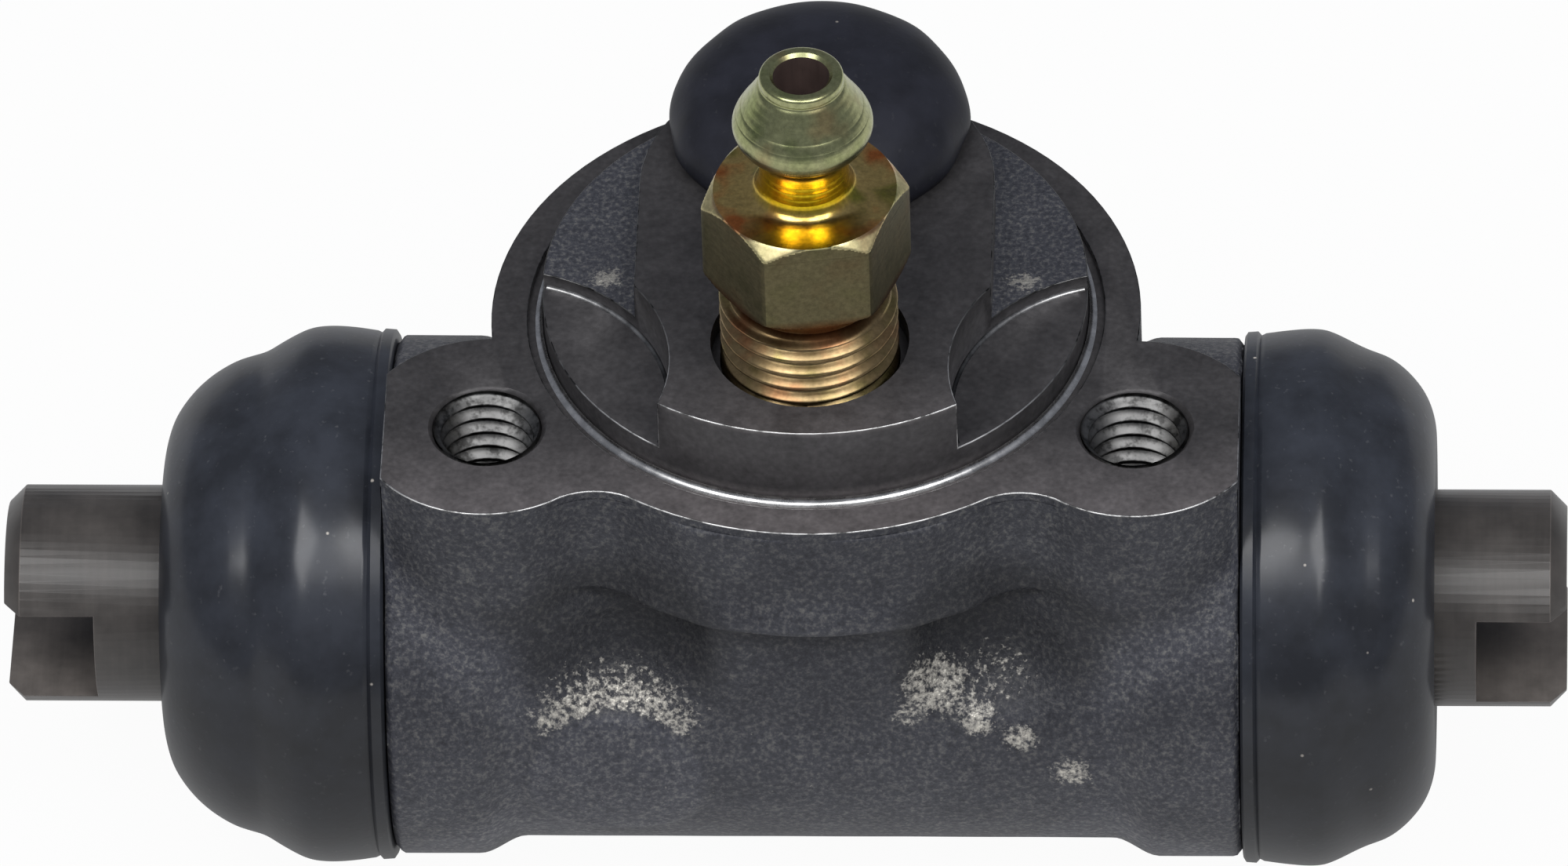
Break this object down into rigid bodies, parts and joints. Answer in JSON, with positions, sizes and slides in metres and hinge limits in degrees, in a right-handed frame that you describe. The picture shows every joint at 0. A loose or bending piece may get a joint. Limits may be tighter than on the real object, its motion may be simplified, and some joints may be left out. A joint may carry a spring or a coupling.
{
  "type": "wheel cylinder",
  "caption": "Drum brake wheel cylinder with cast flanged body, opposed slotted pistons, rubber boots, bleeder screw and plugged inlet port.",
  "frame": {"origin": "midway between the two mounting holes, on the mounting face", "axes": "+X along the bore to the right as pictured, +Z out of the mounting face, +Y from the bolt line towards the pilot axis"},
  "size_m": [0.0863, 0.0372, 0.0563],
  "materials": {
    "cast_body": "dark coated casting with machined faces",
    "piston_steel": "dark turned steel",
    "seal_rubber": "satin",
    "spring_steel": "drawn wire",
    "boot_rubber": "satin moulded",
    "zinc_yellow": "yellow passivated zinc",
    "plug_rubber": "satin"
  },
  "bodies": {
    "housing": {"cylinder_body": "cast_body", "left_boot": "boot_rubber", "right_boot": "boot_rubber", "return_spring": "spring_steel"},
    "left_piston_set": {"left_piston": "piston_steel", "left_cup_seal": "seal_rubber"},
    "right_piston_set": {"right_piston": "piston_steel", "right_cup_seal": "seal_rubber"},
    "bleeder": {"bleeder_screw": "zinc_yellow"},
    "plug": {"port_plug": "plug_rubber"}
  },
  "joints": [
    {"name": "left_piston_slide", "type": "slide", "parent": "housing", "child": "left_piston_set", "axis": [-1, 0, 0], "range_m": [-0.0061, 0.0031], "stiffness_N_per_m": 1000, "deforming": ["left_boot", "return_spring"]},
    {"name": "right_piston_slide", "type": "slide", "parent": "housing", "child": "right_piston_set", "axis": [1, 0, 0], "range_m": [-0.0024, 0.0068], "stiffness_N_per_m": 1000, "deforming": ["right_boot", "return_spring"]},
    {"name": "bleeder_turn", "type": "hinge", "parent": "housing", "child": "bleeder", "pos_m": [0, 0.0019, 0.00475], "axis": [0, 0, 1], "range_deg": [0, 360]},
    {"name": "port_plug_pull", "type": "slide", "parent": "housing", "child": "plug", "axis": [0, 0, 1], "range_m": [0, 0.014]}
  ]
}
